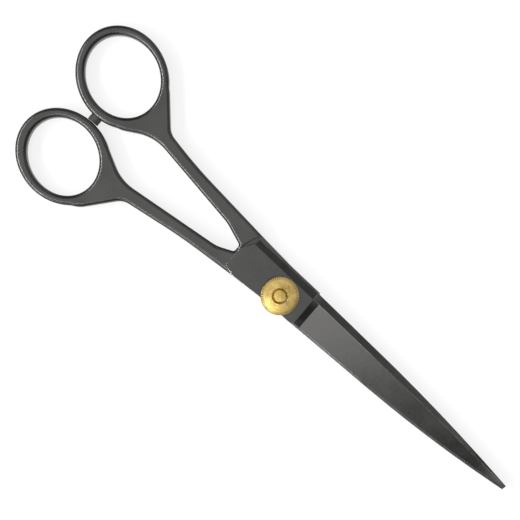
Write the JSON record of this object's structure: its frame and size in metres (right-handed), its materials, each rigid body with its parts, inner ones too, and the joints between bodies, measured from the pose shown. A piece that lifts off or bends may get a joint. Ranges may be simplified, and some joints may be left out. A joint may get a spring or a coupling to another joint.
{
  "type": "hair cutting shears",
  "caption": "Offset-handle hair cutting shears: two steel halves with finger rings, turning on an adjustable pivot with a knurled brass tension nut and a rubber stop between the rings.",
  "frame": {"origin": "on the pivot axis at the flat back of the finger half, which is the face the closed shears rest on", "axes": "+X to the blade tips, +Y to the finger ring's side, +Z along the pivot axis towards the tension nut"},
  "size_m": [0.1781, 0.0559, 0.0082],
  "materials": {
    "steel": "satin black",
    "brass": "turned, lightly polished",
    "spring_steel": "plain",
    "nylon": "matte",
    "rubber": "matte"
  },
  "bodies": {
    "finger": {"finger_half": "steel", "pivot_screw": "brass", "stop_bumper": "rubber"},
    "thumb": {"thumb_half": "steel", "pivot_bush": "nylon"},
    "nut_carriage": {"spring_washer": "spring_steel", "thrust_washer": "spring_steel"},
    "nut": {"tension_nut": "brass"}
  },
  "joints": [
    {"name": "blade_pivot", "type": "hinge", "parent": "finger", "child": "thumb", "pos_m": [0, 0, 0], "axis": [0, 0, 1], "range_deg": [0, 90]},
    {"name": "nut_advance", "type": "slide", "parent": "finger", "child": "nut_carriage", "axis": [0, 0, -1], "range_m": [-0.00035, 0.000175], "deforming": ["spring_washer"]},
    {"name": "nut_turn", "type": "hinge", "parent": "nut_carriage", "child": "nut", "pos_m": [0, 0, 0], "axis": [0, 0, -1], "range_deg": [-180, 90]}
  ],
  "couplings": [
    {"joint": "nut_turn", "follows": "nut_advance", "rad_per_m": 8975.9}
  ]
}
